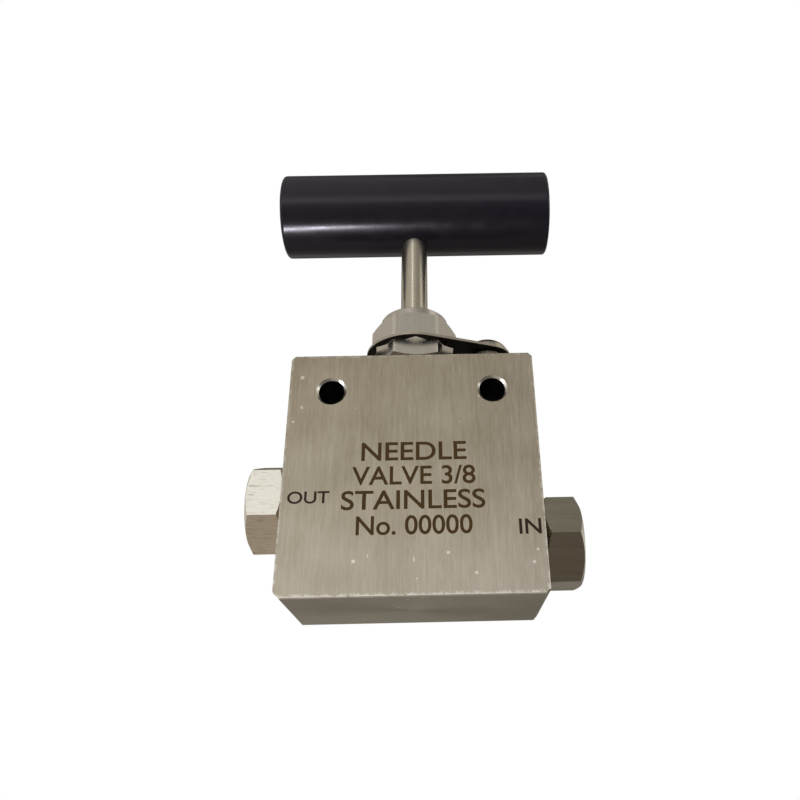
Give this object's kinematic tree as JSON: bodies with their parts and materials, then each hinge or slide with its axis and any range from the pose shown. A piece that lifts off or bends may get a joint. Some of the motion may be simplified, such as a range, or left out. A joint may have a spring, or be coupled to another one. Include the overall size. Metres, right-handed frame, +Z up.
{
  "type": "needle valve",
  "caption": "High pressure needle valve: square steel block with two offset threaded tube ports, packing gland with locking plate, and a black T handle.",
  "frame": {"origin": "centre of the block's underside, on the stem's axis", "axes": "+Z up the stem, -Y out of the marked front face, +X towards the inlet port"},
  "size_m": [0.0669, 0.0254, 0.1098],
  "materials": {
    "body_steel": "vertically brushed stainless",
    "gland_steel": "machined stainless",
    "plate_steel": "rolled stainless sheet",
    "screw_steel": "plain stainless screw",
    "stem_steel": "ground and polished stainless",
    "nut_steel": "turned and drawn stainless bar",
    "packing_ptfe": "white PTFE",
    "handle_black": "black anodised, satin",
    "black_screw": "black oxide"
  },
  "bodies": {
    "block": {"valve_body": "body_steel", "packing_washer": "gland_steel", "packing_ring_lower": "packing_ptfe", "packing_ring_middle": "packing_ptfe", "packing_ring_upper": "packing_ptfe", "packing_follower": "gland_steel", "packing_gland": "gland_steel", "locking_plate": "plate_steel", "locking_spacer": "screw_steel", "locking_screw": "screw_steel", "gland_nut_outlet": "nut_steel", "gland_nut_inlet": "nut_steel", "collar_outlet": "nut_steel", "collar_inlet": "nut_steel"},
    "needle": {"lower_stem": "stem_steel"},
    "handle": {"upper_stem": "stem_steel", "stem_sleeve": "gland_steel", "sleeve_pin": "screw_steel", "thrust_washer_lower": "stem_steel", "thrust_washer_upper": "stem_steel", "handle_bar": "handle_black", "handle_set_screw": "black_screw"}
  },
  "joints": [
    {"name": "stem_lift", "type": "slide", "parent": "block", "child": "needle", "axis": [0, 0, 1], "range_m": [0, 0.00414]},
    {"name": "handle_turn", "type": "hinge", "parent": "needle", "child": "handle", "pos_m": [0, 0, 0.0995], "axis": [0, 0, 1], "range_deg": [0, 1170]}
  ],
  "couplings": [
    {"joint": "stem_lift", "follows": "handle_turn", "m_per_rad": 0.00020213}
  ]
}
